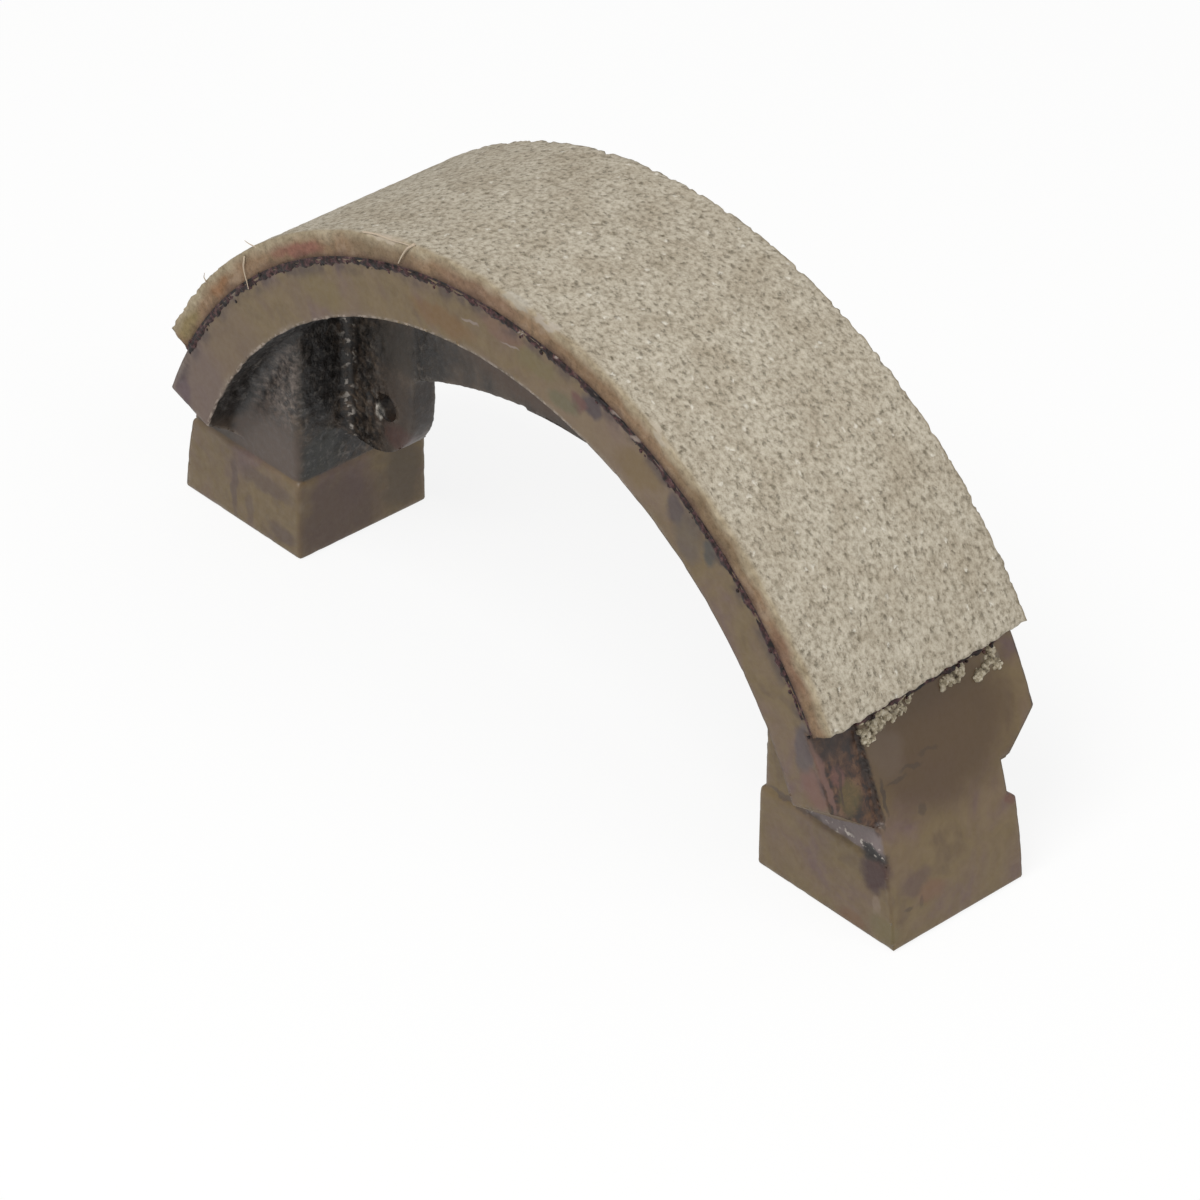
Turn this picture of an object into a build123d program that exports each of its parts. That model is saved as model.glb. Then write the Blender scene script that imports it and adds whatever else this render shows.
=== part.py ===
from build123d import *
import os

# Cast brake shoe with a bonded friction lining. Millimetres and degrees.
# X runs from foot to foot, Y along the drum's axis, Z up from the foot faces.
# Angles round the drum's axis start at +X and turn towards +Z.

# Lining, bond and rim
drum_radius = 65.0
shoe_width = 30.3
lining_thickness = 3.1
bond_thickness = 0.3
rim_thickness = 7.0
lining_start_angle = 31.5
lining_end_angle = 150.1
rim_end_angle = 19.2
rim_bevel_length = 3.9

# Feet: a machined block under each cast pillar
feet_above_axis = 5.1
foot_gap = 79.4
block_width = 20.0
block_height = 10.8
block_edge_radius = 0.5
pillar_inner_inset = 0.2
pillar_near_inset = 0.35
pillar_far_inset = 1.1
pillar_corner_radius = 1.0

# Web: a rib under the rim that widens to a gusset at each foot
web_thickness = 3.6
web_crown_height = 33.9
web_arch_radius = 66.0
gusset_reach = 11.7
gusset_bottom_height = 14.8
gusset_corner_radius = 8.0
gusset_throat_radius = 2.0
spring_hole_radius = 1.8
spring_hole_reach = 6.8
spring_hole_height = 21.7

# Casting radii where pillars and web grow out of the rim
pillar_root_radius = 2.0
web_root_radius = 1.4

# Low spot that the turning tool left untouched, at the right foot's near corner
low_spot_width = 6.3
low_spot_depth = 0.7

# Derived places
rim_outer_radius = drum_radius - lining_thickness - bond_thickness
rim_inner_radius = rim_outer_radius - rim_thickness
rim_middle_radius = (rim_inner_radius + rim_outer_radius) / 2
rim_overhang = (shoe_width - block_width) / 2
foot_inner_x = foot_gap / 2
pillar_inner_x = foot_inner_x + pillar_inner_inset
pillar_width = block_width - pillar_near_inset - pillar_far_inset
pillar_middle_y = (pillar_near_inset - pillar_far_inset) / 2
pillar_bottom_height = block_height / 2
gusset_inner_x = foot_inner_x - gusset_reach
spring_hole_x = foot_inner_x - spring_hole_reach
axis_height = -feet_above_axis
drum_axis = Axis((0, 0, axis_height), (0, -1, 0))
same_place = 0.001


def distance_from_axis(edge):
    """How far the middle of an edge lies from the drum's axis."""
    middle = edge.position_at(0.5)
    return Vector(middle.X, 0, middle.Z - axis_height).length


def drum_circle(radius):
    """A circle round the drum's axis, in the side view."""
    with Locations((0, axis_height)):
        Circle(radius)


def radial_direction(angle):
    """The outward direction at an angle round the drum's axis."""
    return Vector(1, 0, 0).rotate(drum_axis, angle)


def curved_band(inner_radius, outer_radius, start_angle, end_angle):
    """A band of the shoe's full width, revolved round the drum's axis."""
    section_plane = Plane(
        (0, 0, axis_height),
        x_dir=(0, 1, 0),
        z_dir=radial_direction(start_angle - 90),
    )
    with BuildPart() as band:
        with BuildSketch(section_plane):
            with Locations((0, (inner_radius + outer_radius) / 2)):
                Rectangle(shoe_width, outer_radius - inner_radius)
        revolve(axis=drum_axis, revolution_arc=end_angle - start_angle)
    return band.part


def post(inner_x, width, bottom, top):
    """An upright from inner_x out to the turned outer face, at the right foot."""
    with BuildPart() as body:
        with BuildSketch(Plane.XZ):
            drum_circle(rim_outer_radius)
            with Locations((inner_x, bottom)):
                Rectangle(
                    drum_radius,
                    top - bottom,
                    align=Align.MIN,
                    mode=Mode.INTERSECT,
                )
        extrude(amount=width / 2, both=True)
    return body.part


def pillar():
    """The cast pillar of the right foot, running down into its block."""
    body = post(pillar_inner_x, pillar_width, pillar_bottom_height, rim_inner_radius)
    inner_corners = body.edges().filter_by(Axis.Z).group_by(Axis.X)[0]
    body = body.fillet(pillar_corner_radius, inner_corners)
    return body.moved(Location((0, pillar_middle_y, 0)))


def block():
    """The machined block of the right foot, with its edges broken."""
    body = post(foot_inner_x, block_width, 0, block_height)
    top_edges = body.edges().group_by(Axis.Z)[-1].sort_by(Axis.X)[:-1]
    bottom_edges = body.edges().group_by(Axis.Z)[0]
    inner_corners = body.edges().filter_by(Axis.Z).group_by(Axis.X)[0]
    return body.fillet(block_edge_radius, top_edges + bottom_edges + inner_corners)


def web():
    """The rib and its two gussets, as one plate in the middle of the width."""
    with BuildPart() as plate:
        with BuildSketch(Plane.XZ) as outline:
            drum_circle(rim_middle_radius)
            with Locations((0, gusset_bottom_height)):
                Rectangle(
                    2 * rim_outer_radius,
                    rim_outer_radius,
                    align=(Align.CENTER, Align.MIN),
                    mode=Mode.INTERSECT,
                )
            with BuildSketch(mode=Mode.SUBTRACT):
                with Locations((0, web_crown_height - web_arch_radius)):
                    Circle(web_arch_radius)
                Rectangle(2 * gusset_inner_x, 2 * web_crown_height, mode=Mode.INTERSECT)
            bottom_corners = outline.vertices().group_by(Axis.Y)[0].sort_by(Axis.X)
            fillet(bottom_corners[1:-1], gusset_corner_radius)
        extrude(amount=web_thickness / 2, both=True)
        opening_edges = (
            plate.edges()
            .filter_by(Axis.Y)
            .filter_by_position(Axis.X, -gusset_inner_x, gusset_inner_x)
        )
        fillet(opening_edges.group_by(Axis.Z)[-1], gusset_throat_radius)
    return plate.part


def pillar_roots(body):
    """The edges where the pillars meet the inside of the rim."""
    return ShapeList(
        edge
        for edge in body.edges()
        if abs(distance_from_axis(edge) - rim_inner_radius) < same_place
        and abs(edge.position_at(0.5).Y - pillar_middle_y) < pillar_width / 2 + same_place
        and edge.position_at(0.5).Z > block_height + rim_bevel_length
    )


def web_roots(body):
    """The edges where the web meets the pillars and the inside of the rim."""
    return ShapeList(
        edge
        for edge in body.edges()
        if abs(abs(edge.position_at(0.5).Y) - web_thickness / 2) < same_place
        and (
            distance_from_axis(edge) > rim_inner_radius - pillar_root_radius
            or abs(edge.position_at(0.5).X) > pillar_inner_x - same_place
        )
    )


def end_bevel():
    """The wedge cut off the rim's near corner at the right foot."""
    end_plane = Plane(
        (0, 0, axis_height),
        x_dir=(0, 1, 0),
        z_dir=radial_direction(rim_end_angle),
    )
    start = (-block_width / 2, 0)
    finish = (start[0] - 2 * rim_overhang, 2 * rim_bevel_length)
    with BuildPart() as wedge:
        with BuildSketch(end_plane):
            Polygon(start, finish, (finish[0], 0), align=None)
        extrude(amount=drum_radius)
    return wedge.part


def low_spot():
    """The unturned patch between the lining's end and the rim's end."""
    patch = curved_band(
        rim_outer_radius - low_spot_depth,
        drum_radius,
        rim_end_angle,
        lining_start_angle,
    )
    near_strip = Box(
        2 * drum_radius,
        low_spot_width,
        2 * drum_radius,
        align=(Align.CENTER, Align.MIN, Align.CENTER),
    )
    return patch & near_strip.moved(Location((0, -shoe_width / 2, 0)))


def spring_hole():
    """The drill for the return spring's hole in the right gusset."""
    drill = Cylinder(spring_hole_radius, 2 * web_thickness, rotation=(90, 0, 0))
    return drill.moved(Location((spring_hole_x, 0, spring_hole_height)))


def both_feet(shape):
    """A shape made for the right foot, and its mirror image for the left."""
    return shape + shape.mirror(Plane.YZ)


def casting():
    """Rim, pillars, web and blocks, as the one casting that they are."""
    body = curved_band(
        rim_inner_radius, rim_outer_radius, rim_end_angle, 180 - rim_end_angle
    )
    body += both_feet(pillar())
    body = body.fillet(pillar_root_radius, pillar_roots(body))
    body += web()
    body = body.fillet(web_root_radius, web_roots(body))
    near_bevels = both_feet(end_bevel())
    body -= near_bevels
    body -= near_bevels.mirror(Plane.XZ)
    body -= low_spot()
    body += both_feet(block())
    body -= both_feet(spring_hole())
    return body


def bond_layer():
    """The film of adhesive between the rim and the lining."""
    return curved_band(
        rim_outer_radius,
        rim_outer_radius + bond_thickness,
        lining_start_angle,
        lining_end_angle,
    )


def friction_lining():
    """The moulded lining that rubs on the drum."""
    return curved_band(
        drum_radius - lining_thickness,
        drum_radius,
        lining_start_angle,
        lining_end_angle,
    )


os.makedirs("parts", exist_ok=True)
export_step(casting(), "parts/shoe_casting.step")
export_step(bond_layer(), "parts/bond_layer.step")
export_step(friction_lining(), "parts/friction_lining.step")
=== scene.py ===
import math

import bmesh
import bpy
import numpy as np
from bpy.props import FloatProperty, FloatVectorProperty, PointerProperty
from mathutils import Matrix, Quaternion, Vector, noise
from mathutils.kdtree import KDTree


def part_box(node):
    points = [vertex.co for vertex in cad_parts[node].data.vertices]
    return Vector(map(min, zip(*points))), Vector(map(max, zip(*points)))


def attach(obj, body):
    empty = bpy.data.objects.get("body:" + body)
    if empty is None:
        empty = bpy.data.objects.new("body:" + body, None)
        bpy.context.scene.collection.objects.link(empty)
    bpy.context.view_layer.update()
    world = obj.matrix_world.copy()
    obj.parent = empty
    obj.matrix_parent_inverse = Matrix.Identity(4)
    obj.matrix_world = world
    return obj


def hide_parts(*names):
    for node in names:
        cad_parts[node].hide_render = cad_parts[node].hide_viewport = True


bl_info = {
    "name": "Brake Shoe",
    "version": (1, 0, 0),
    "blender": (4, 5, 0),
    "location": "3D View > Sidebar > Brake Shoe",
    "description": "Skin, lining, adhesive and stage for a cast brake shoe",
    "category": "Object",
}

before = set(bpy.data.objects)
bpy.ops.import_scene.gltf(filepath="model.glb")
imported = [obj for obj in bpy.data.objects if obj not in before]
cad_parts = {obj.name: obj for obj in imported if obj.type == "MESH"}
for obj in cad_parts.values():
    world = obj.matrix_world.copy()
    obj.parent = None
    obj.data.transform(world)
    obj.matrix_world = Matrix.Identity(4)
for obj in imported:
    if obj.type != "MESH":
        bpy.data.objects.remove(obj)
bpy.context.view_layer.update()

MM = 0.001
# The shoe's two sides, along Y.
NEAR, FAR = -1, 1


# ---------------------------------------------------------------- colours


def linear(hex_colour):
    """An sRGB hex colour as linear RGB."""
    channels = [int(hex_colour[i : i + 2], 16) / 255 for i in (1, 3, 5)]
    return tuple(c / 12.92 if c <= 0.04045 else ((c + 0.055) / 1.055) ** 2.4 for c in channels)


def solid(colour):
    """A linear colour as the RGBA value of a colour socket."""
    return (*colour, 1.0)


def paint(hex_colour):
    """An sRGB hex colour as the RGBA value of a colour socket."""
    return solid(linear(hex_colour))


# ---------------------------------------------------------------- settings


def length_property(name, description, millimetres):
    """A length setting, given in millimetres."""
    return FloatProperty(name=name, description=description, default=millimetres * MM, unit="LENGTH")


def angle_property(name, description, degrees):
    """An angle setting, given in degrees."""
    return FloatProperty(name=name, description=description, default=math.radians(degrees), subtype="ANGLE")


def colour_property(name, description, hex_colour):
    """A colour setting, given as an sRGB hex colour."""
    return FloatVectorProperty(
        name=name, description=description, default=linear(hex_colour), subtype="COLOR", min=0.0, max=1.0
    )


class ShoeSizes(bpy.types.PropertyGroup):
    """The shoe's sizes that the dressing follows."""

    drum_radius: length_property("Drum radius", "Outer radius of the lining", 65.0)
    lining_thickness: length_property("Lining thickness", "Thickness of the lining", 3.1)
    rim_outer: length_property("Rim outer radius", "Turned face under the lining", 61.6)
    rim_inner: length_property("Rim inner radius", "Cast inside of the rim", 54.6)
    block_height: length_property("Block height", "Height of each machined foot", 10.8)
    pillar_near: length_property("Pillar near side", "Reach of each pillar to the near side", 9.65)
    pillar_far: length_property("Pillar far side", "Reach of each pillar to the far side", 8.9)
    pillar_inner: length_property("Pillar inner face", "From the middle to each pillar", 39.9)
    low_spot_width: length_property("Low spot width", "Width of the unturned patch", 6.3)
    bead_radius: length_property("Bead radius", "Mean radius of the squeezed-out adhesive", 0.38)
    blister_radius: length_property("Blister radius", "Mean radius of the adhesive's blisters", 0.3)
    crumb_radius: length_property("Crumb radius", "Mean radius of the lining's crumbs", 0.26)
    skin_pitch: length_property("Skin pitch", "Mesh spacing of the casting's skin", 0.35)
    lining_pitch: length_property("Lining pitch", "Mesh spacing of the lining", 0.34)


class ShoeColours(bpy.types.PropertyGroup):
    """The colours of the shoe's marks, over the drifting tones that each material gives its surface."""

    # Painted shade, laid on the raw skin's hollows and under the rim's overhang.
    hollow_shade: colour_property("Hollow", "Hollows of the raw skin", "#110C09")
    # Painted highlight: bright specks that stand in for grains catching the light.
    painted_glint: colour_property("Glint", "Glassy grains that catch the light", "#BDB5AC")
    wiped: colour_property("Wiped adhesive", "Adhesive wiped along the rim's sides", "#382828")
    # Painted highlight along the burr of the rim's inner edge.
    burr_highlight: colour_property("Burr", "Bright burr along the rim's inner edge", "#AC9E92")
    bare_edge: colour_property("Bare edge", "Iron showing where edges are nicked", "#94877A")
    torn: colour_property("Torn grain", "Grain torn out of the ground lining", "#574F3F")
    mineral: colour_property("Mineral", "Bright mineral in the lining", "#D9D4C8")
    pit: colour_property("Pit", "Bottom of the lining's pits", "#7B715E")
    soaked: colour_property("Soaked resin", "Lining's side against the bond", "#573F35")
    fibre: colour_property("Fibre", "Glass roving pulled out of the lining", "#B5A48E")


class StageSettings(bpy.types.PropertyGroup):
    """Where the camera stands."""

    azimuth: angle_property("Azimuth", "0 looks along +Y", 47.49)
    elevation: angle_property("Elevation", "Above the floor", 34.82)
    roll: angle_property("Roll", "Tilt of the camera", 0.48)
    distance: length_property("Distance", "Camera to target", 626.6)
    lens: FloatProperty(name="Lens", description="Focal length in mm on a 36 mm sensor", default=165.6)


# What the camera looks at: a point low in the arch, a little to the right and to the near side.
TARGET = Vector((7.99, -4.89, 16.78)) * MM


# ---------------------------------------------------------------- the shoe's own frame


def shoe():
    """The sizes, with the axis height and width taken from the frame."""
    sizes = bpy.context.scene.shoe_sizes
    low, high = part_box("friction_lining")
    axis_height = high[2] - sizes.drum_radius
    return sizes, axis_height, (high[1] - low[1]) / 2


def round_the_axis(points):
    """Radius and angle in degrees of each point round the drum's axis."""
    axis_height = shoe()[1]
    x, z = points[:, 0], points[:, 2] - axis_height
    return np.hypot(x, z), np.degrees(np.arctan2(z, x))


def on_the_band(angle, radius, across):
    """The point at an angle in degrees, a radius and a place across the width."""
    turn = np.radians(angle)
    x, z = radius * np.cos(turn), shoe()[1] + radius * np.sin(turn)
    return np.stack(np.broadcast_arrays(x, across, z), axis=-1)


# ---------------------------------------------------------------- mesh helpers


def ramp(values, start, finish):
    """0 before start, 1 after finish and a smooth rise between them."""
    t = np.clip((values - start) / (finish - start), 0.0, 1.0)
    return t * t * (3 - 2 * t)


def noise_at(points, size, seed, basis="PERLIN_ORIGINAL"):
    """Noise at each point, where size is about the width of one bump."""
    places = points / size + 37.0 * seed
    return np.array([noise.noise(Vector(p), noise_basis=basis) for p in places])


def vertex_places(mesh):
    """Every vertex's place, one row each."""
    places = np.empty(len(mesh.vertices) * 3, np.float32)
    mesh.vertices.foreach_get("co", places)
    return places.reshape(-1, 3).astype(float)


def vertex_normals(mesh):
    """Every vertex's outward direction, one row each."""
    normals = np.empty(len(mesh.vertices) * 3, np.float32)
    mesh.vertex_normals.foreach_get("vector", normals)
    return normals.reshape(-1, 3).astype(float)


def move_vertices(mesh, places):
    """Puts the vertices at these places."""
    mesh.vertices.foreach_set("co", places.astype(np.float32).ravel())
    mesh.update()


def store(mesh, name, values):
    """Keeps one number for each vertex, for a material to read."""
    layer = mesh.attributes.new(name, "FLOAT", "POINT")
    layer.data.foreach_set("value", np.asarray(values, np.float32))


def store_places(mesh, name, vectors):
    """Keeps one vector for each vertex, for a material to read."""
    layer = mesh.attributes.new(name, "FLOAT_VECTOR", "POINT")
    layer.data.foreach_set("vector", np.asarray(vectors, np.float32).ravel())


def neighbour_pairs(mesh):
    """Every edge taken both ways, as the vertices it starts and finishes at."""
    ends = np.empty(len(mesh.edges) * 2, np.int32)
    mesh.edges.foreach_get("vertices", ends)
    a, b = ends.reshape(-1, 2).T
    return np.concatenate([a, b]), np.concatenate([b, a])


def sharpness(mesh, places, normals):
    """How far each vertex stands out from its neighbours, along its normal."""
    start, finish = neighbour_pairs(mesh)
    count = np.bincount(start, minlength=len(places))
    mean = [np.bincount(start, places[finish, k], len(places)) / count for k in range(3)]
    return np.einsum("ij,ij->i", places - np.stack(mean, axis=-1), normals)


def spread(mesh, values, rounds):
    """Averages a value with its neighbours, some rounds over."""
    start, finish = neighbour_pairs(mesh)
    count = np.bincount(start, minlength=len(values))
    for _ in range(rounds):
        values = (values + np.bincount(start, values[finish], len(values)) / count) / 2
    return values


def new_object(name, mesh):
    """A new object of the scene, at the origin."""
    piece = bpy.data.objects.new(name, mesh)
    bpy.context.scene.collection.objects.link(piece)
    return piece


def plain_mesh(piece):
    """Gives the piece its evaluated mesh, and takes its modifiers away."""
    graph = bpy.context.evaluated_depsgraph_get()
    mesh = bpy.data.meshes.new_from_object(piece.evaluated_get(graph))
    if not mesh.polygons:
        raise RuntimeError(f"{piece.name} came out with no faces")
    piece.modifiers.clear()
    old = piece.data
    piece.data = mesh
    mesh.name = piece.name
    bpy.data.meshes.remove(old)


def dress(piece, material):
    """Gives the whole piece one material."""
    piece.data.materials.clear()
    piece.data.materials.append(material)


# ---------------------------------------------------------------- node helper


def add_node(tree, kind, settings=None, inputs=None):
    """Adds a node. An input is a value, or the socket that feeds it."""
    node = tree.nodes.new(kind)
    for name, value in (settings or {}).items():
        setattr(node, name, value)
    for name, value in (inputs or {}).items():
        if isinstance(value, bpy.types.NodeSocket):
            tree.links.new(value, node.inputs[name])
        else:
            node.inputs[name].default_value = value
    return node


def per(size):
    """The scale of a noise whose bumps are about that size, in metres."""
    return 1.0 / size


def new_material(name):
    """A material with its tree, its surface shader and its output, joined."""
    material = bpy.data.materials.new(name)
    material.use_nodes = True
    tree = material.node_tree
    tree.nodes.clear()
    surface = add_node(tree, "ShaderNodeBsdfPrincipled")
    output = add_node(tree, "ShaderNodeOutputMaterial", inputs={"Surface": surface.outputs[0]})
    output.location = (400, 0)
    return material, tree, surface


def mesh_value(tree, name):
    """A number that the mesh keeps for each vertex."""
    return add_node(tree, "ShaderNodeAttribute", {"attribute_name": name}).outputs["Fac"]


def set_stops(ramp_node, stops):
    """Sets a colour ramp's stops, each a hex colour and its position."""
    elements = ramp_node.color_ramp.elements
    first, *between, last = stops
    elements[0].color, elements[0].position = paint(first[0]), first[1]
    elements[1].color, elements[1].position = paint(last[0]), last[1]
    for hex_colour, position in between:
        elements.new(position).color = paint(hex_colour)


def mottle(tree, place, size, stops):
    """Soft clouds about that size, coloured by their stops."""
    clouds = add_node(
        tree, "ShaderNodeTexNoise",
        inputs={"Vector": place, "Scale": per(size), "Detail": 4.0, "Roughness": 0.6, "Distortion": 0.5},
    )
    colour = add_node(tree, "ShaderNodeValToRGB", inputs={"Fac": clouds.outputs["Fac"]})
    set_stops(colour, stops)
    return colour.outputs["Color"]


def times(tree, first, second):
    """The product of two numbers."""
    return add_node(tree, "ShaderNodeMath", {"operation": "MULTIPLY"}, {0: first, 1: second}).outputs[0]


def rise(tree, value, start, finish):
    """0 at the start, 1 at the finish and a smooth rise between them."""
    return add_node(
        tree, "ShaderNodeMapRange", {"interpolation_type": "SMOOTHSTEP"},
        {"Value": value, "From Min": start, "From Max": finish},
    ).outputs[0]


def blend(tree, share, under, over, how="MIX"):
    """Lays one colour over another by a share. The mix node's sockets 6 and 7 are its two colours."""
    return add_node(
        tree, "ShaderNodeMix", {"data_type": "RGBA", "blend_type": how}, {0: share, 6: under, 7: over}
    ).outputs[2]


# ---------------------------------------------------------------- finishes


def stained_and_shaded(tree, place, base, stains):
    """Lays soft-edged marks over a colour, each from its centre, half sizes, colour and strength: stains, and
    in some tables painted shade and highlight.
    """
    wander = 2.2 * MM
    wobble = add_node(
        tree, "ShaderNodeTexNoise", inputs={"Vector": place, "Scale": per(2.5 * MM), "Detail": 3.0}
    )
    shifted = add_node(
        tree, "ShaderNodeVectorMath", {"operation": "MULTIPLY_ADD"},
        {0: wobble.outputs["Color"], 1: (wander,) * 3, 2: place},
    )
    centred = add_node(
        tree, "ShaderNodeVectorMath", {"operation": "SUBTRACT"}, {0: shifted.outputs[0], 1: (wander / 2,) * 3}
    )
    colour = base
    for centre, half_sizes, hex_colour, strength in stains:
        offset = add_node(
            tree, "ShaderNodeVectorMath", {"operation": "SUBTRACT"},
            {0: centred.outputs[0], 1: tuple(c * MM for c in centre)},
        )
        scaled = add_node(
            tree, "ShaderNodeVectorMath", {"operation": "DIVIDE"},
            {0: offset.outputs[0], 1: tuple(h * MM for h in half_sizes)},
        )
        length = add_node(tree, "ShaderNodeVectorMath", {"operation": "LENGTH"}, {0: scaled.outputs[0]})
        mask = add_node(
            tree, "ShaderNodeMapRange", {"interpolation_type": "SMOOTHSTEP"},
            {
                "Value": length.outputs["Value"],
                "From Min": 0.55,
                "From Max": 1.1,
                "To Min": strength,
                "To Max": 0.0,
            },
        )
        colour = blend(tree, mask.outputs[0], colour, paint(hex_colour))
    return colour


def machined_film(tree, place):
    """The film on machined faces, whose thickness and colour drift over a centimetre or so, with some painted
    shade from its table.
    """
    drift = mottle(
        tree, place, 9 * MM, (("#5F4848", 0.34), ("#67533D", 0.45), ("#6A5834", 0.57), ("#503C28", 0.70))
    )
    cloud = mottle(tree, place, 1.6 * MM, (("#55432F", 0.36), ("#6C5A43", 0.64)))
    return stained_and_shaded(tree, place, blend(tree, 0.35, drift, cloud), MACHINED_STAINS_AND_SHADE)


def sandy_skin(tree, place, grain, colours):
    """Raw skin that drifts from slate to brown, dark between its grains, with painted shade in its hollows
    and under the rim, and painted glints on a few grains.
    """
    slow = mottle(tree, place, 5 * MM, (("#2C2520", 0.36), ("#463A2F", 0.52), ("#5D4E40", 0.66)))
    toned = stained_and_shaded(tree, place, slow, SKIN_STAINS_SHADE_AND_HIGHLIGHT)
    shade = add_node(tree, "ShaderNodeValToRGB", inputs={"Fac": grain})
    set_stops(shade, (("#3A3532", 0.40), ("#A6A19C", 0.49), ("#FFFFFF", 0.60)))
    sandy = times(tree, mesh_value(tree, "sandy"), 0.9)
    grained = blend(tree, sandy, toned, shade.outputs["Color"], "MULTIPLY")
    # Painted shade in the skin's hollows and under the rim.
    shade_in_hollows = blend(tree, mesh_value(tree, "hollow_shade"), grained, solid(colours.hollow_shade))
    # Painted glints: bright specks laid in the colour where the glint share says.
    sparks = add_node(
        tree, "ShaderNodeTexNoise", inputs={"Vector": place, "Scale": per(0.8 * MM), "Detail": 2.0}
    )
    lit = add_node(
        tree, "ShaderNodeMapRange",
        inputs={"Value": sparks.outputs["Fac"], "From Min": 0.56, "From Max": 0.64, "To Max": 0.9},
    )
    spark = times(tree, lit.outputs[0], mesh_value(tree, "painted_glint"))
    return blend(tree, spark, shade_in_hollows, solid(colours.painted_glint))


def joint_marks(tree, place, grain):
    """How much wiped adhesive, and how much painted highlight along the inner edge's burr, shows on the rim's
    sides.
    """
    sizes, axis_height, half_width = shoe()
    from_axis = add_node(
        tree, "ShaderNodeVectorMath", {"operation": "MULTIPLY_ADD"},
        {0: place, 1: (1.0, 0.0, 1.0), 2: (0.0, 0.0, -axis_height)},
    )
    radius = add_node(
        tree, "ShaderNodeVectorMath", {"operation": "LENGTH"}, {0: from_axis.outputs[0]}
    ).outputs["Value"]
    along = add_node(tree, "ShaderNodeSeparateXYZ", inputs={0: place}).outputs
    reach = add_node(tree, "ShaderNodeMath", {"operation": "ABSOLUTE"}, {0: along["Y"]}).outputs[0]
    on_side = rise(tree, reach, half_width - 0.4 * MM, half_width - 0.1 * MM)
    patchy = add_node(
        tree, "ShaderNodeTexNoise", inputs={"Vector": place, "Scale": per(3 * MM), "Detail": 3.0}
    ).outputs["Fac"]
    near_bond = rise(tree, radius, sizes.rim_outer - 2.4 * MM, sizes.rim_outer - 0.9 * MM)
    wiped = times(tree, times(tree, near_bond, on_side), rise(tree, patchy, 0.38, 0.62))
    outside = rise(tree, radius, sizes.rim_inner - 0.45 * MM, sizes.rim_inner - 0.1 * MM)
    inside = rise(tree, radius, sizes.rim_inner + 0.4 * MM, sizes.rim_inner + 0.1 * MM)
    line = times(tree, times(tree, outside, inside), on_side)
    broken = times(tree, rise(tree, grain, 0.44, 0.56), rise(tree, patchy, 0.38, 0.5))
    # The painted highlight along the burr fades out before it reaches the right foot.
    burr_highlight = times(tree, times(tree, line, broken), rise(tree, along["X"], 28 * MM, 20 * MM))
    return wiped, burr_highlight


def browned_casting(colours):
    """Cast iron with a thin brown film: satin and olive to mauve where machined, dark on its raw skin."""
    material, tree, surface = new_material("browned_casting")
    place = add_node(tree, "ShaderNodeTexCoord").outputs["Object"]
    # The mould's sand leaves grains under a millimetre across.
    grain = add_node(
        tree, "ShaderNodeTexNoise",
        inputs={"Vector": place, "Scale": per(0.75 * MM), "Detail": 4.0, "Roughness": 0.65},
    ).outputs["Fac"]
    wiped, burr_highlight = joint_marks(tree, place, grain)
    film = blend(tree, times(tree, wiped, 0.7), machined_film(tree, place), solid(colours.wiped))
    body = blend(tree, mesh_value(tree, "cast_skin"), film, sandy_skin(tree, place, grain, colours))
    # Painted highlight along the burr of the rim's inner edge.
    body = blend(tree, times(tree, burr_highlight, 0.7), body, solid(colours.burr_highlight))

    # The patch the tool missed keeps its rust, with a painted shadow along its edge.
    spot = mottle(tree, place, 1.1 * MM, (("#1C0F08", 0.38), ("#3F2717", 0.51), ("#5F442F", 0.66)))
    rust_and_shadow = stained_and_shaded(tree, place, spot, LOW_SPOT_STAINS_AND_SHADOW)
    patched = blend(tree, mesh_value(tree, "low_spot"), body, rust_and_shadow)
    bare = mesh_value(tree, "bare_edge")
    tree.links.new(blend(tree, bare, patched, solid(colours.bare_edge)), surface.inputs["Base Color"])
    tree.links.new(bare, surface.inputs["Metallic"])
    gloss = add_node(
        tree, "ShaderNodeMapRange",
        inputs={"Value": grain, "From Min": 0.3, "From Max": 0.7, "To Min": 0.40, "To Max": 0.58},
    )
    tree.links.new(gloss.outputs[0], surface.inputs["Roughness"])

    fine = add_node(
        tree, "ShaderNodeTexNoise",
        inputs={"Vector": place, "Scale": per(0.4 * MM), "Detail": 3.0, "Roughness": 0.6},
    )
    depth = add_node(
        tree, "ShaderNodeMapRange",
        inputs={"Value": mesh_value(tree, "sandy"), "To Min": 0.01 * MM, "To Max": 0.12 * MM},
    )
    height = times(tree, fine.outputs["Fac"], depth.outputs[0])
    bump = add_node(
        tree, "ShaderNodeBump", inputs={"Strength": 1.0, "Distance": 1.0, "Height": height}
    )
    tree.links.new(bump.outputs[0], surface.inputs["Normal"])
    return material


def specks(tree, place, spacing, draw, reach, left_out):
    """Specks strewn over a face, stretched along it, with a share of them left out."""
    drawn = add_node(
        tree, "ShaderNodeVectorMath", {"operation": "MULTIPLY"}, {0: place, 1: (draw, 1.0, 1.0)}
    ).outputs[0]
    cells = add_node(
        tree, "ShaderNodeTexVoronoi", {"voronoi_dimensions": "2D"},
        {"Vector": drawn, "Scale": per(spacing), "Randomness": 1.0},
    )
    near = rise(tree, cells.outputs["Distance"], reach, 0.0)
    chance = add_node(tree, "ShaderNodeTexWhiteNoise", inputs={"Vector": cells.outputs["Position"]})
    kept = add_node(
        tree, "ShaderNodeMath", {"operation": "GREATER_THAN"}, {0: chance.outputs["Value"], 1: left_out}
    )
    return times(tree, near, kept.outputs[0])


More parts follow.
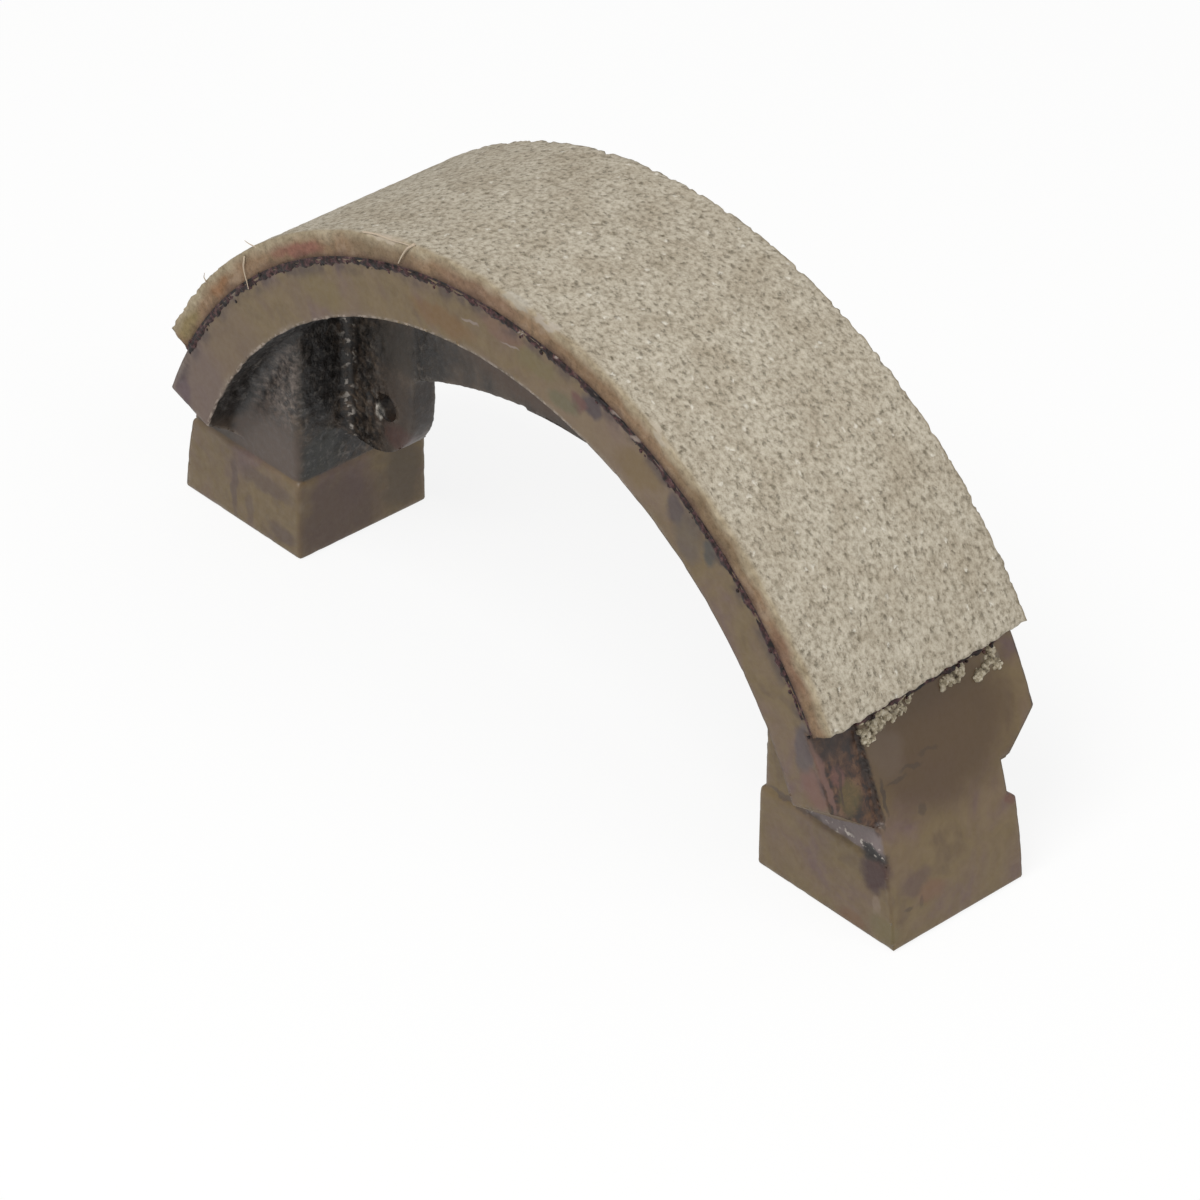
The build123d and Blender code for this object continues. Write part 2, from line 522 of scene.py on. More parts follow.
def ground_face(tree, band, flecks, colours):
    """The ground face: grains of many tones, some torn out along the grinding, and bright mineral."""
    face = add_node(tree, "ShaderNodeValToRGB", inputs={"Fac": flecks["Fac"]})
    set_stops(face, (("#665E4D", 0.28), ("#968D7C", 0.40), ("#AFA695", 0.50), ("#C5BDAC", 0.68)))
    slow = mottle(tree, band, 6 * MM, (("#EDEAE6", 0.35), ("#FFFFFF", 0.60)))
    ground = blend(tree, 1.0, face.outputs["Color"], slow, "MULTIPLY")
    wavy = add_node(
        tree, "ShaderNodeVectorMath", {"operation": "MULTIPLY_ADD"},
        {0: flecks["Color"], 1: (1.6 * MM,) * 3, 2: band},
    ).outputs[0]
    torn = times(tree, specks(tree, wavy, 1.2 * MM, 0.6, 0.26, 0.3), 0.75)
    mineral = times(tree, specks(tree, wavy, 2.0 * MM, 0.8, 0.16, 0.75), 0.8)
    flecked = blend(tree, mineral, blend(tree, torn, ground, solid(colours.torn)), solid(colours.mineral))
    return blend(tree, mesh_value(tree, "pit_depth"), flecked, solid(colours.pit))


def pressed_side(tree, band, flecks, colours):
    """The pressed sides: resin soaks them in blotches, brown towards the bond and darkest against it."""
    resin = mesh_value(tree, "resin")
    tan = mottle(tree, band, 1.6 * MM, (("#8F8068", 0.34), ("#A3957C", 0.50), ("#B3A58D", 0.66)))
    soak = mottle(tree, band, 2.4 * MM, (("#77634D", 0.34), ("#8C7258", 0.50), ("#96806A", 0.66)))
    blotched = stained_and_shaded(tree, band, soak, LINING_STAINS)
    deeper = add_node(tree, "ShaderNodeMapRange", inputs={"Value": resin, "From Min": 0.1, "From Max": 0.5})
    deepest = add_node(
        tree, "ShaderNodeMapRange", inputs={"Value": resin, "From Min": 0.7, "From Max": 1.0, "To Max": 0.7}
    )
    sides = blend(tree, deeper.outputs[0], tan, blotched)
    sides = blend(tree, deepest.outputs[0], sides, solid(colours.soaked))
    grit = add_node(tree, "ShaderNodeValToRGB", inputs={"Fac": flecks["Fac"]})
    set_stops(grit, (("#6E6A66", 0.30), ("#DAD8D6", 0.46), ("#FFFFFF", 0.64)))
    return blend(tree, 0.45, sides, grit.outputs["Color"], "MULTIPLY")


def ground_compound(colours):
    """Moulded friction compound, ground on its face: dry and matt, flecked, resin-brown at its sides."""
    material, tree, surface = new_material("ground_friction_compound")
    band = add_node(tree, "ShaderNodeAttribute", {"attribute_name": "band_place"}).outputs["Vector"]
    # Flecks are about half a millimetre across and drawn out a little along the grinding.
    drawn = add_node(
        tree, "ShaderNodeVectorMath", {"operation": "MULTIPLY"}, {0: band, 1: (0.88, 1.0, 1.0)}
    ).outputs[0]
    flecks = add_node(
        tree, "ShaderNodeTexNoise",
        inputs={"Vector": drawn, "Scale": per(0.62 * MM), "Detail": 4.0, "Roughness": 0.75},
    ).outputs
    face = ground_face(tree, band, flecks, colours)
    sides = pressed_side(tree, band, flecks, colours)
    both = blend(tree, mesh_value(tree, "side_face"), face, sides)
    tree.links.new(stained_and_shaded(tree, band, both, LINING_CHIPS), surface.inputs["Base Color"])
    surface.inputs["Roughness"].default_value = 0.88
    surface.inputs["Specular IOR Level"].default_value = 0.3

    fine = add_node(
        tree, "ShaderNodeTexNoise",
        inputs={"Vector": drawn, "Scale": per(0.4 * MM), "Detail": 4.0, "Roughness": 0.7},
    )
    bump = add_node(
        tree, "ShaderNodeBump",
        inputs={"Strength": 1.0, "Distance": 0.12 * MM, "Height": fine.outputs["Fac"]},
    )
    tree.links.new(bump.outputs[0], surface.inputs["Normal"])
    return material


def baked_adhesive():
    """Phenolic bonding adhesive, squeezed out and baked: dark, blistered and half glossy."""
    material, tree, surface = new_material("baked_adhesive")
    place = add_node(tree, "ShaderNodeTexCoord").outputs["Object"]
    blisters = add_node(
        tree, "ShaderNodeTexNoise",
        inputs={"Vector": place, "Scale": per(0.9 * MM), "Detail": 4.0, "Roughness": 0.65},
    )
    shade = add_node(tree, "ShaderNodeValToRGB", inputs={"Fac": blisters.outputs["Fac"]})
    set_stops(shade, (("#090403", 0.38), ("#22120E", 0.48), ("#45292B", 0.58), ("#6B5348", 0.72)))
    toned = stained_and_shaded(tree, place, shade.outputs["Color"], ADHESIVE_STAINS)
    tree.links.new(toned, surface.inputs["Base Color"])
    surface.inputs["Roughness"].default_value = 0.55
    surface.inputs["Specular IOR Level"].default_value = 0.3
    bump = add_node(
        tree, "ShaderNodeBump",
        inputs={"Strength": 0.8, "Distance": 0.15 * MM, "Height": blisters.outputs["Fac"]},
    )
    tree.links.new(bump.outputs[0], surface.inputs["Normal"])
    return material


def compound_crumbs():
    """Crumbs of the same friction compound, broken off when it was trimmed: pale, chalky and matt."""
    material, tree, surface = new_material("compound_crumbs")
    place = add_node(tree, "ShaderNodeTexCoord").outputs["Object"]
    shade = mottle(tree, place, 0.6 * MM, (("#6E6454", 0.36), ("#A1967F", 0.50), ("#C4BBA8", 0.62)))
    tree.links.new(shade, surface.inputs["Base Color"])
    surface.inputs["Roughness"].default_value = 0.9
    return material


def glass_fibre(colours):
    """Strands of the compound's glass roving, pulled out at the moulded edge: pale straw, slightly glossy."""
    material, _, surface = new_material("pulled_fibre")
    surface.inputs["Base Color"].default_value = solid(colours.fibre)
    surface.inputs["Roughness"].default_value = 0.5
    return material


# Stains, and some marks of painted shade and highlight as noted: centre and half sizes in mm, colour,
# strength.
MACHINED_STAINS_AND_SHADE = (
    ((22, -15, 48.5), (17, 3, 6), "#75624F", 0.45),
    ((-52, -15, 21), (8, 3, 9), "#5F4D45", 0.8),
    ((-45, -15, 31), (8, 3, 6), "#64513E", 0.6),
    ((-54.6, -15, 19), (1.9, 3, 3.6), "#4E3A3F", 0.8),
    ((-55.6, -15, 24), (1.0, 3, 5), "#4E3A3F", 0.7),
    ((-28, -15, 45.6), (5, 3, 2.4), "#665630", 0.6),
    ((-7, -15, 51.5), (6, 2, 2), "#66481F", 0.7),
    ((3, -15, 54.7), (5, 2, 1.4), "#67483B", 0.6),
    ((9, -15, 53), (4, 2, 1.8), "#625733", 0.6),
    ((17.6, -15, 52), (1.8, 2, 1.8), "#33262D", 0.85),
    ((15.4, -15, 51.4), (1.6, 2, 1.4), "#55302C", 0.8),
    ((13, -15, 50.3), (3, 2, 1.5), "#505034", 0.6),
    ((25, -15, 47.5), (4.5, 2, 2.6), "#655028", 0.6),
    ((31, -15, 45.4), (1.6, 2, 2.4), "#3D3034", 0.8),
    ((33, -15, 42.5), (2.6, 2, 3.6), "#4B4139", 0.6),
    ((36.4, -15, 42.4), (1.2, 2, 1.8), "#343433", 0.8),
    ((51.6, -15, 25), (1.6, 2, 4.4), "#453D43", 0.7),
    ((54, -15, 20.6), (2.8, 3, 3), "#67463E", 0.8),
    ((44.5, -10, 11.2), (5, 1.2, 0.4), "#40332F", 0.6),
    ((-2.4, -15, 53.6), (1.5, 2, 0.25), "#85776F", 0.7),
    ((4.3, -15, 53.5), (1.8, 2, 0.22), "#85776F", 0.7),
    ((58, -10, 9), (2.5, 1.6, 3.4), "#331816", 0.95),
    # Painted shade: a near-black pit at the right foot's ledge, with no depth of its own.
    ((57.6, -10, 11.3), (2.4, 1.4, 1.0), "#0E0908", 0.95),
    ((58.6, -10, 4.8), (0.8, 1.4, 1.4), "#7C6B5C", 0.5),
    ((59.6, -10, 2.2), (2.6, 2, 2.2), "#5C5433", 0.5),
    ((54.6, -10, 0.4), (2.6, 2, 2), "#64452B", 0.6),
    ((60.8, -6, 7.4), (1.6, 3, 1.8), "#4E3936", 0.6),
    ((60.8, -4, 5.2), (2, 2.4, 1.6), "#6A4A35", 0.6),
    ((60.9, -7.6, 4.6), (1.4, 0.9, 0.5), "#33241E", 0.5),
    ((60.9, -5.4, 4.4), (1.4, 0.5, 1.2), "#33241E", 0.4),
    ((59.6, 9.4, 10.6), (2, 1.4, 1.0), "#5A352C", 0.7),
    ((56.5, 1, 22), (8, 14, 11), "#463218", 0.92),
    ((55.4, -6.2, 22), (3, 3, 3.8), "#5C4D40", 0.45),
    ((56.2, -0.8, 20.2), (1.6, 1.7, 0.28), "#2C1F14", 0.4),
    ((56.5, -3.6, 19.4), (1.6, 2.0, 0.3), "#2C1F14", 0.5),
    ((56.9, -6, 18.8), (1.6, 1.7, 0.3), "#2C1F14", 0.5),
    ((57, -8.2, 18), (1.8, 0.35, 2.4), "#1E130C", 0.6),
    ((57.8, -9, 16), (1.8, 0.35, 1.8), "#1E130C", 0.6),
    ((58.4, -3.4, 14.5), (1, 0.4, 1.0), "#35281C", 0.5),
    # Painted shade: these two darken the left foot's inner face, under the arch.
    ((-39.5, -4, 4), (1.2, 8, 8), "#47332A", 0.8),
    ((-39.5, 6, 5), (1.2, 4, 6), "#4A3C28", 0.8),
    ((-46, -10, 8), (6, 1.6, 1.6), "#4C3A31", 0.7),
    ((-52, -10, 5), (0.8, 1.6, 5), "#4A3830", 0.7),
    ((-49, -10, 3), (0.9, 1.6, 3), "#503E34", 0.6),
    ((-43, -10, 2.4), (3, 1.6, 1.6), "#47352E", 0.7),
    ((54.0, -8.6, 24.4), (1.1, 1.4, 1.1), "#8E8470", 0.75),
    ((53.5, -6.2, 25.0), (1.0, 1.6, 0.9), "#8A806C", 0.6),
    ((53.4, -3.4, 25.3), (0.9, 2.0, 0.7), "#857B68", 0.55),
    ((53.4, 5.3, 25.4), (0.8, 1.3, 0.8), "#7B7160", 0.5),
    ((53.6, 11.2, 25.2), (0.9, 1.4, 1.0), "#7B7160", 0.5),
)
SKIN_STAINS_SHADE_AND_HIGHLIGHT = (
    ((-45, -9.7, 26), (7, 1.2, 10), "#7E726A", 0.9),
    ((-46, -9.7, 13), (8, 1.4, 9), "#51433A", 0.95),
    # These two darken the left pillar's inner face: its own dark skin, with painted shade under the arch.
    ((-39.7, -6, 13.5), (1.4, 3.8, 5), "#282822", 0.9),
    ((-39.7, -6, 24), (1.6, 4.4, 8), "#1C1917", 0.85),
    ((-39.7, 5, 12.4), (1.2, 5, 3.4), "#4C3E2F", 0.9),
    ((-32, -2, 21), (4.6, 2.6, 6.6), "#43362B", 0.9),
    ((-30.6, -2, 18.2), (3.2, 2.6, 2.4), "#4B312A", 0.85),
    # Painted shade on the gusset's end face.
    ((-28.2, 0, 24), (1.0, 2.6, 6), "#352B25", 0.8),
    ((-18, -2, 45), (12, 2.4, 6), "#62564B", 0.8),
    ((-30, -2, 31), (8, 2.4, 4), "#3E352B", 0.8),
    ((-8, -2, 37.6), (14, 2.4, 4), "#564234", 0.9),
    # Painted shade inside the spring hole.
    ((-32.9, 0, 21.7), (1.7, 1.6, 1.7), "#120E0B", 0.9),
    # Painted highlight on the spring hole's lower wall.
    ((-34.3, -1.7, 20.7), (0.8, 0.9, 1.3), "#E0DACF", 0.95),
    ((53, -10.2, 12.8), (10, 2.2, 2.6), "#776A69", 0.9),
    # Painted shade of the same pit at the right foot's ledge.
    ((57.4, -9.9, 11.2), (2, 1.6, 0.9), "#120D0B", 0.95),
    ((-39.5, -5.2, 10.9), (0.9, 4.6, 0.3), "#120E0B", 0.95),
)
LOW_SPOT_STAINS_AND_SHADOW = (
    ((56.3, -12.1, 19.6), (2, 1.8, 2.8), "#564A26", 0.6),
    ((55.4, -12.9, 22.2), (1.6, 1.2, 1.6), "#63423C", 0.6),
    ((55.4, -14.7, 22.5), (5, 0.6, 6), "#664A42", 0.8),
    ((57.6, -10.4, 17), (1.3, 0.9, 1.3), "#68482A", 0.6),
    # Painted shadow along the step at the patch's edge.
    ((56, -9.1, 21), (6, 0.45, 7), "#201610", 0.7),
    ((54.3, -11.8, 25.2), (2.6, 3.8, 2.4), "#25140A", 0.7),
    ((56, -12.9, 21), (5, 0.3, 3), "#33231B", 0.7),
)
ADHESIVE_STAINS = (
    ((6.1, -15.3, 56), (0.5, 1, 0.35), "#9A8C84", 0.85),
    ((11.8, -15.3, 55.8), (0.4, 1, 0.35), "#9A8C84", 0.85),
    ((18.9, -15.3, 54), (2, 1.5, 1.2), "#120C0C", 0.9),
    ((22, -15.3, 53), (1.4, 1, 0.4), "#94867C", 0.8),
    ((24.4, -15.3, 51.4), (1.2, 1, 0.4), "#94867C", 0.7),
)
# On the lining these are along the arc, across and outwards, in mm.
LINING_STAINS = (
    ((136, -15, 63.1), (5, 3, 1.1), "#85524A", 0.7),
    ((141, -15, 63.6), (2.4, 3, 1.1), "#80564A", 0.6),
    ((156, -15, 63.4), (3, 3, 1.3), "#8A5F3C", 0.65),
    ((166.5, -15, 63.5), (4, 3, 2), "#85784F", 0.7),
    ((120, -15, 63.5), (7, 3, 3), "#74654F", 0.6),
    ((103, -15, 63), (8, 3, 2), "#7E6250", 0.6),
    ((85, -15, 63.5), (8, 3, 3), "#7C634A", 0.6),
    ((62, -15, 63.5), (9, 3, 3), "#75634A", 0.6),
    ((44.6, -15, 63.5), (5, 3, 3), "#7C5C49", 0.65),
    ((38, 15, 63.5), (4, 3, 3), "#75785E", 0.6),
)
LINING_CHIPS = (
    ((97, -15, 64.7), (3.0, 1.0, 0.6), "#ADA79C", 0.5),
    ((92, -15, 64.6), (2.4, 0.7, 0.5), "#B0A69B", 0.6),
    ((119, -15, 64.9), (4, 0.8, 0.5), "#BEB09F", 0.6),
    ((73, -15, 64.7), (2.6, 0.6, 0.5), "#B3A898", 0.6),
)


# ---------------------------------------------------------------- operators


# The lining's ends in degrees round the axis. The right one is askew: further round on the far side.
LINING_START, LINING_FINISH = 31.5, 150.1
LINING_SKEW = 0.45
# Between these angles the rim is hidden under the lining.
COVERED_START, COVERED_FINISH = 32.5, 149
# The lining's ground face is about this long round the arc, and a degree of it this many millimetres.
LINING_ARC = 134 * MM
MM_PER_DEGREE = 1.13
# A vertex that stands this far out from its neighbours is on a full edge, or as far in, in a full hollow.
EDGE_HEIGHT = 0.035 * MM


class SHOE_OT_make_casting(bpy.types.Operator):
    """Make the casting's skin: sharp machined faces, raw pebbled skin and nicked edges"""

    bl_idname = "shoe.make_casting"
    bl_label = "Make casting"

    def execute(self, context):
        sizes = shoe()[0]
        casting = new_object("shoe_casting_skin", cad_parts["shoe_casting"].data.copy())
        weld(casting.data)
        corners = sharp_edges(casting.data)
        even = casting.modifiers.new("Even skin", "REMESH")
        even.mode = "VOXEL"
        even.voxel_size = sizes.skin_pitch
        flush = casting.modifiers.new("Flush with the faces", "SHRINKWRAP")
        flush.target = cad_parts["shoe_casting"]
        plain_mesh(casting)
        mesh = casting.data
        snap_to_edges(mesh, corners, 0.7 * sizes.skin_pitch)
        round_plate_edges(mesh)
        mesh.shade_smooth()

        places, normals = vertex_places(mesh), vertex_normals(mesh)
        skin = raw_skin(places)
        spot = low_spot(places)
        edge = np.clip(spread(mesh, sharpness(mesh, places, normals), 2) / EDGE_HEIGHT, 0.0, 1.0)
        nick = edge * ramp(noise_at(places, 1.6 * MM, 3), 0.1, 0.5)

        rough = skin * calm_skin(places)
        relief = rough * pebbles(places)
        relief += crust(places) * 0.22 * MM * noise_at(places, 0.9 * MM, 6)
        relief += spot * 0.10 * MM * noise_at(places, 1.2 * MM, 5)
        relief -= nick * 0.06 * MM
        # The soles stay flat, so that the shoe still rests on them.
        relief *= ramp(places[:, 2], 0.0, 0.4 * MM)
        moved = places + normals * relief[:, None]
        move_vertices(mesh, moved)
        # How deep each vertex sits in a hollow, for the painted shade there.
        hollow_shade = np.clip(-spread(mesh, sharpness(mesh, moved, normals), 1) / EDGE_HEIGHT, 0.0, 1.0)
        radius = round_the_axis(places)[0]
        # Painted shade on the raw skin under the rim's overhang.
        under_rim_shade = ramp(radius, sizes.rim_inner - 1.5 * MM, sizes.rim_inner - 0.3 * MM) * skin
        under_rim_shade *= ramp(places[:, 2], 15 * MM, 18 * MM)
        worn = edge * (0.06 + 0.3 * ramp(noise_at(places, 3 * MM, 8), 0.0, 0.5))
        worn *= 1 - 0.7 * ramp(places[:, 0], 36 * MM, 40 * MM)
        store(mesh, "cast_skin", spread(mesh, skin, 1))
        store(mesh, "low_spot", spread(mesh, spot, 1))
        store(mesh, "sandy", rough)
        store(mesh, "hollow_shade", np.maximum(0.8 * hollow_shade * rough, 0.88 * under_rim_shade))
        # Painted glints on the fillets, the crust and the rough skin, kept out of the hollows.
        store(mesh, "painted_glint", np.clip(painted_glints(places) + 0.12 * rough, 0.0, 1.0) * (1 - hollow_shade))
        store(mesh, "bare_edge", worn)
        thin_out(casting, (spread(mesh, edge, 4) < 0.01) & (skin < 0.5) & (spot < 0.5))
        casting.data.shade_smooth()
        dress(casting, browned_casting(context.scene.shoe_colours))
        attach(casting, "root")
        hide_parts("shoe_casting")
        return {"FINISHED"}


def thin_out(piece, plain):
    """Merges small faces where the surface is plain or hidden under the lining, and nowhere else."""
    places = vertex_places(piece.data)
    radius, angle = round_the_axis(places)
    sizes, _, half_width = shoe()
    covered = (radius > sizes.rim_outer - 0.2 * MM) & (angle > COVERED_START) & (angle < COVERED_FINISH)
    covered &= np.abs(places[:, 1]) < half_width - 1 * MM
    group = piece.vertex_groups.new(name="plain")
    group.add(np.nonzero(plain | covered)[0].tolist(), 1.0, "REPLACE")
    fewer = piece.modifiers.new("Fewer faces", "DECIMATE")
    fewer.ratio = 0.5
    fewer.vertex_group = group.name
    plain_mesh(piece)


def weld(mesh):
    """Joins the loose triangles of a construction mesh."""
    work = bmesh.new()
    work.from_mesh(mesh)
    bmesh.ops.remove_doubles(work, verts=work.verts, dist=0.002 * MM)
    work.to_mesh(mesh)
    work.free()


def sharp_edges(mesh):
    """The two ends of every sharp edge of a construction mesh."""
    work = bmesh.new()
    work.from_mesh(mesh)
    ends = [[tuple(v.co) for v in edge.verts] for edge in work.edges if edge.calc_face_angle(0.0) > 0.5]
    work.free()
    return np.array(ends)


def snap_to_edges(mesh, ends, reach):
    """Moves the vertices that are within reach of a sharp edge onto it."""
    starts, finishes = ends[:, 0], ends[:, 1]
    owners, samples = [], []
    for k, length in enumerate(np.linalg.norm(finishes - starts, axis=1)):
        steps = max(2, math.ceil(length / (0.15 * MM)))
        samples.extend(starts[k] + (finishes[k] - starts[k]) * t for t in np.linspace(0, 1, steps))
        owners.extend([k] * steps)
    tree = KDTree(len(samples))
    for i, sample in enumerate(samples):
        tree.insert(sample, i)
    tree.balance()
    places = vertex_places(mesh)
    bent = np.abs(sharpness(mesh, places, vertex_normals(mesh))) > 0.01 * MM
    for i in np.nonzero(bent)[0]:
        _, nearest, distance = tree.find(places[i])
        if distance > 1.3 * reach:
            continue
        start, finish = starts[owners[nearest]], finishes[owners[nearest]]
        along = finish - start
        share = np.clip(np.dot(places[i] - start, along) / np.dot(along, along), 0.0, 1.0)
        target = start + along * share
        if np.linalg.norm(target - places[i]) < reach:
            places[i] = target
    move_vertices(mesh, places)


def round_plate_edges(mesh):
    """Rounds the upright edges of the gussets a little, as the mould left them."""
    sizes = shoe()[0]
    places = vertex_places(mesh)
    plate = (np.abs(places[:, 1]) < 2.1 * MM) & (np.abs(places[:, 0]) < 30 * MM)
    plate &= (places[:, 2] > sizes.block_height) & (places[:, 2] < 33.4 * MM)
    softer = np.stack([spread(mesh, places[:, k], 7) for k in range(3)], axis=-1)
    places[plate] = softer[plate]
    move_vertices(mesh, places)


def raw_skin(places):
    """1 on the skin that no tool has cut: the inside of the rim, the web and the pillars."""
    sizes, _, half_width = shoe()
    radius = round_the_axis(places)[0]
    above = places[:, 2] > sizes.block_height + 0.12 * MM
    inside = (radius < sizes.rim_inner + 0.12 * MM) & (np.abs(places[:, 1]) < half_width - 0.1 * MM)
    y = places[:, 1]
    neck = (y > -sizes.pillar_near - 0.15 * MM) & (y < sizes.pillar_far + 0.15 * MM)
    neck &= radius < sizes.rim_outer - 0.25 * MM
    # The right pillar's near face has been skimmed, but not the ledge under the rim's end.
    skimmed = (places[:, 0] > sizes.pillar_inner + 0.4 * MM) & (y < -sizes.pillar_near + 0.5 * MM)
    skimmed &= (places[:, 2] > 14.5 * MM) | (places[:, 0] < 47 * MM)
    neck &= ~skimmed
    inside &= ~skimmed
    return (above & (inside | neck)).astype(float)


def low_spot(places):
    """1 on the patch that the turning tool left untouched."""
    sizes, _, half_width = shoe()
    radius, angle = round_the_axis(places)
    sunk = (radius < sizes.rim_outer - 0.12 * MM) & (radius > sizes.rim_outer - 0.95 * MM)
    near = places[:, 1] < -half_width + sizes.low_spot_width + 0.05 * MM
    return (sunk & near & (angle > 18.0) & (angle < 32.0) & (places[:, 0] > 0)).astype(float)


def pebbles(places):
    """The height of the raw skin: pebbles a millimetre wide on broader swells."""
    grain = noise_at(places, 0.9 * MM, 1)
    swell = noise_at(places, 3.2 * MM, 2)
    pits = ramp(-noise_at(places, 1.6 * MM, 4), 0.25, 0.6)
    return (0.18 * grain + 0.16 * swell - 0.18 * pits) * MM


def calm_skin(places):
    """Less relief low on the pillars and along the web's edge, where the mould was smooth."""
    sizes = shoe()[0]
    x, y, z = np.abs(places[:, 0]), np.abs(places[:, 1]), places[:, 2]
    low = 1 - ramp(z, 15 * MM, 22 * MM)
    pillar = ramp(x, sizes.pillar_inner - 0.4 * MM, sizes.pillar_inner + 0.5 * MM)
    rounded = ramp(-y, -4.5 * MM, -3 * MM)
    web = ramp(-y, -2.4 * MM, -1.9 * MM) * (1 - pillar)
    edge_of_web = ramp(-z, -42 * MM, -36 * MM) * ramp(-x, -28 * MM, -20 * MM)
    gusset = ramp(x, 26 * MM, 29 * MM) * (1 - ramp(x, 31.5 * MM, 36 * MM))
    calm_web = web * np.maximum(0.9 * edge_of_web, 0.85 * gusset)
    return 1 - np.maximum(pillar * low * 0.85 * (1 - rounded), calm_web)


def painted_glints(places):
    """1 where painted glints go on the skin: along the fillets between pillar and web, and on the crust."""
    sizes = shoe()[0]
    x, y, z = np.abs(places[:, 0]), np.abs(places[:, 1]), places[:, 2]
    corner = ramp(-np.abs(x - sizes.pillar_inner + 0.8 * MM), -1.0 * MM, -0.3 * MM)
    corner *= ramp(-np.abs(y - 2.4 * MM), -1.0 * MM, -0.3 * MM)
    return np.maximum(corner * ramp(z, 13 * MM, 16 * MM) * 0.8, crust(places) * 0.95)


def crust(places):
    """1 on the sandy crust along the top of the right foot's near ledge."""
    sizes = shoe()[0]
    x, y, z = places[:, 0], places[:, 1], places[:, 2]
    band = ramp(-np.abs(z - sizes.block_height - 0.5 * MM), -1.5 * MM, -0.6 * MM)
    return band * ramp(x, 44 * MM, 47 * MM) * ramp(-y, sizes.pillar_near - 0.6 * MM, sizes.pillar_near)


class SHOE_OT_make_lining(bpy.types.Operator):
    """Make the friction lining with its ground face, ragged ends and worn edges"""

    bl_idname = "shoe.make_lining"
    bl_label = "Make lining"

    def execute(self, context):
        sizes, _, half_width = shoe()
        along = round(LINING_ARC / sizes.lining_pitch)
        across = round(2 * half_width / sizes.lining_pitch)
        deep = round(sizes.lining_thickness / sizes.lining_pitch)
        if min(along, across, deep) < 1:
            raise RuntimeError("The lining's mesh spacing is wider than the lining")
        corners, faces = box_grid(along, across, deep)
        mesh = bpy.data.meshes.new("friction_lining_block")
        side = corners[:, 1] * 2 - 1
        depth = corners[:, 2]
        skewed = LINING_START + LINING_SKEW * side
        angle = skewed + (LINING_FINISH - skewed) * corners[:, 0]
        radius = sizes.drum_radius - sizes.lining_thickness * depth
        y = half_width * side
        ragged = np.stack([radius * 0, y, radius * 0.4], axis=-1)
        right = ramp(angle, LINING_START + 2.5, LINING_START)
        left = ramp(angle, LINING_FINISH - 2.0, LINING_FINISH)
        bite = noise_at(ragged, 1.6 * MM, 11) + 0.7 * noise_at(ragged, 0.7 * MM, 12)
        angle = angle - (right * 0.2 * bite) + left * 0.14 * bite
        # Chips along both upper edges, twice as deep on the far side.
        from_corner = np.hypot(depth * sizes.lining_thickness, half_width - np.abs(y))
        along_edge = np.stack([angle * MM_PER_DEGREE * MM, 9 * MM * side, radius * 0], axis=-1)
        chipped = ramp(noise_at(along_edge, 1.5 * MM, 22), 0.1, 0.6)
        chipped += 0.6 * ramp(noise_at(along_edge, 0.7 * MM, 23), 0.1, 0.6)
        chipped *= ramp(-from_corner, -0.8 * MM, 0.0)
        chipped *= np.where(side > 0, 1.0, 0.5)
        radius = radius - 0.26 * MM * chipped
        y = y - side * 0.16 * MM * chipped
        places = on_the_band(angle, radius, y)
        mesh.from_pydata(places.tolist(), [], faces.tolist())
        mesh.update()
        mesh.shade_smooth()
        lining = new_object("friction_lining_block", mesh)

        normals = vertex_normals(mesh)
        band = np.stack([np.radians(angle) * sizes.drum_radius, y, radius], axis=-1)
        drawn = band * np.array([0.82, 1.0, 1.0])
        top = ramp(-depth, -0.02, 0.0)
        flank = ramp(np.abs(side), 0.975, 0.998)
        pits = ramp(-noise_at(drawn, 0.8 * MM, 13), 0.3, 0.7)
        grain = 0.07 * noise_at(drawn, 0.7 * MM, 14) + 0.05 * noise_at(drawn, 1.7 * MM, 15)
        edge = np.clip(spread(mesh, sharpness(mesh, places, normals), 2) / (0.05 * MM), 0.0, 1.0)
        chips = ramp(noise_at(band * np.array([1.0, 0.0, 0.6]), 2.6 * MM, 16), 0.0, 0.6)
        relief = (grain - 0.10 * pits * (1 - flank)) * MM
        relief += flank * 0.09 * noise_at(band * np.array([1.0, 0.0, 1.6]), 1.3 * MM, 17) * MM
        relief -= edge * (0.05 + 0.13 * chips) * MM
        # The face against the bond stays smooth.
        relief *= 1 - ramp(depth, 0.93, 1.0)
        move_vertices(mesh, places + normals * relief[:, None])
        store(mesh, "pit_depth", pits * 0.5)
        soaked = depth * sizes.lining_thickness + 0.8 * noise_at(band, 3 * MM, 19) * MM
        store(mesh, "resin", np.clip(soaked / sizes.lining_thickness, 0.0, 1.0))
        store_places(mesh, "band_place", band)
        inward = half_width * (1 - np.abs(side)) + 0.3 * noise_at(band, 2.0 * MM, 18) * MM * top
        tinted = np.where(side > 0, 0.15 * MM, 0.8 * MM)
        store(mesh, "side_face", ramp(-inward, -tinted, 0.1 * MM))
        dress(lining, ground_compound(context.scene.shoe_colours))
        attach(lining, "root")
        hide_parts("friction_lining")
        return {"FINISHED"}


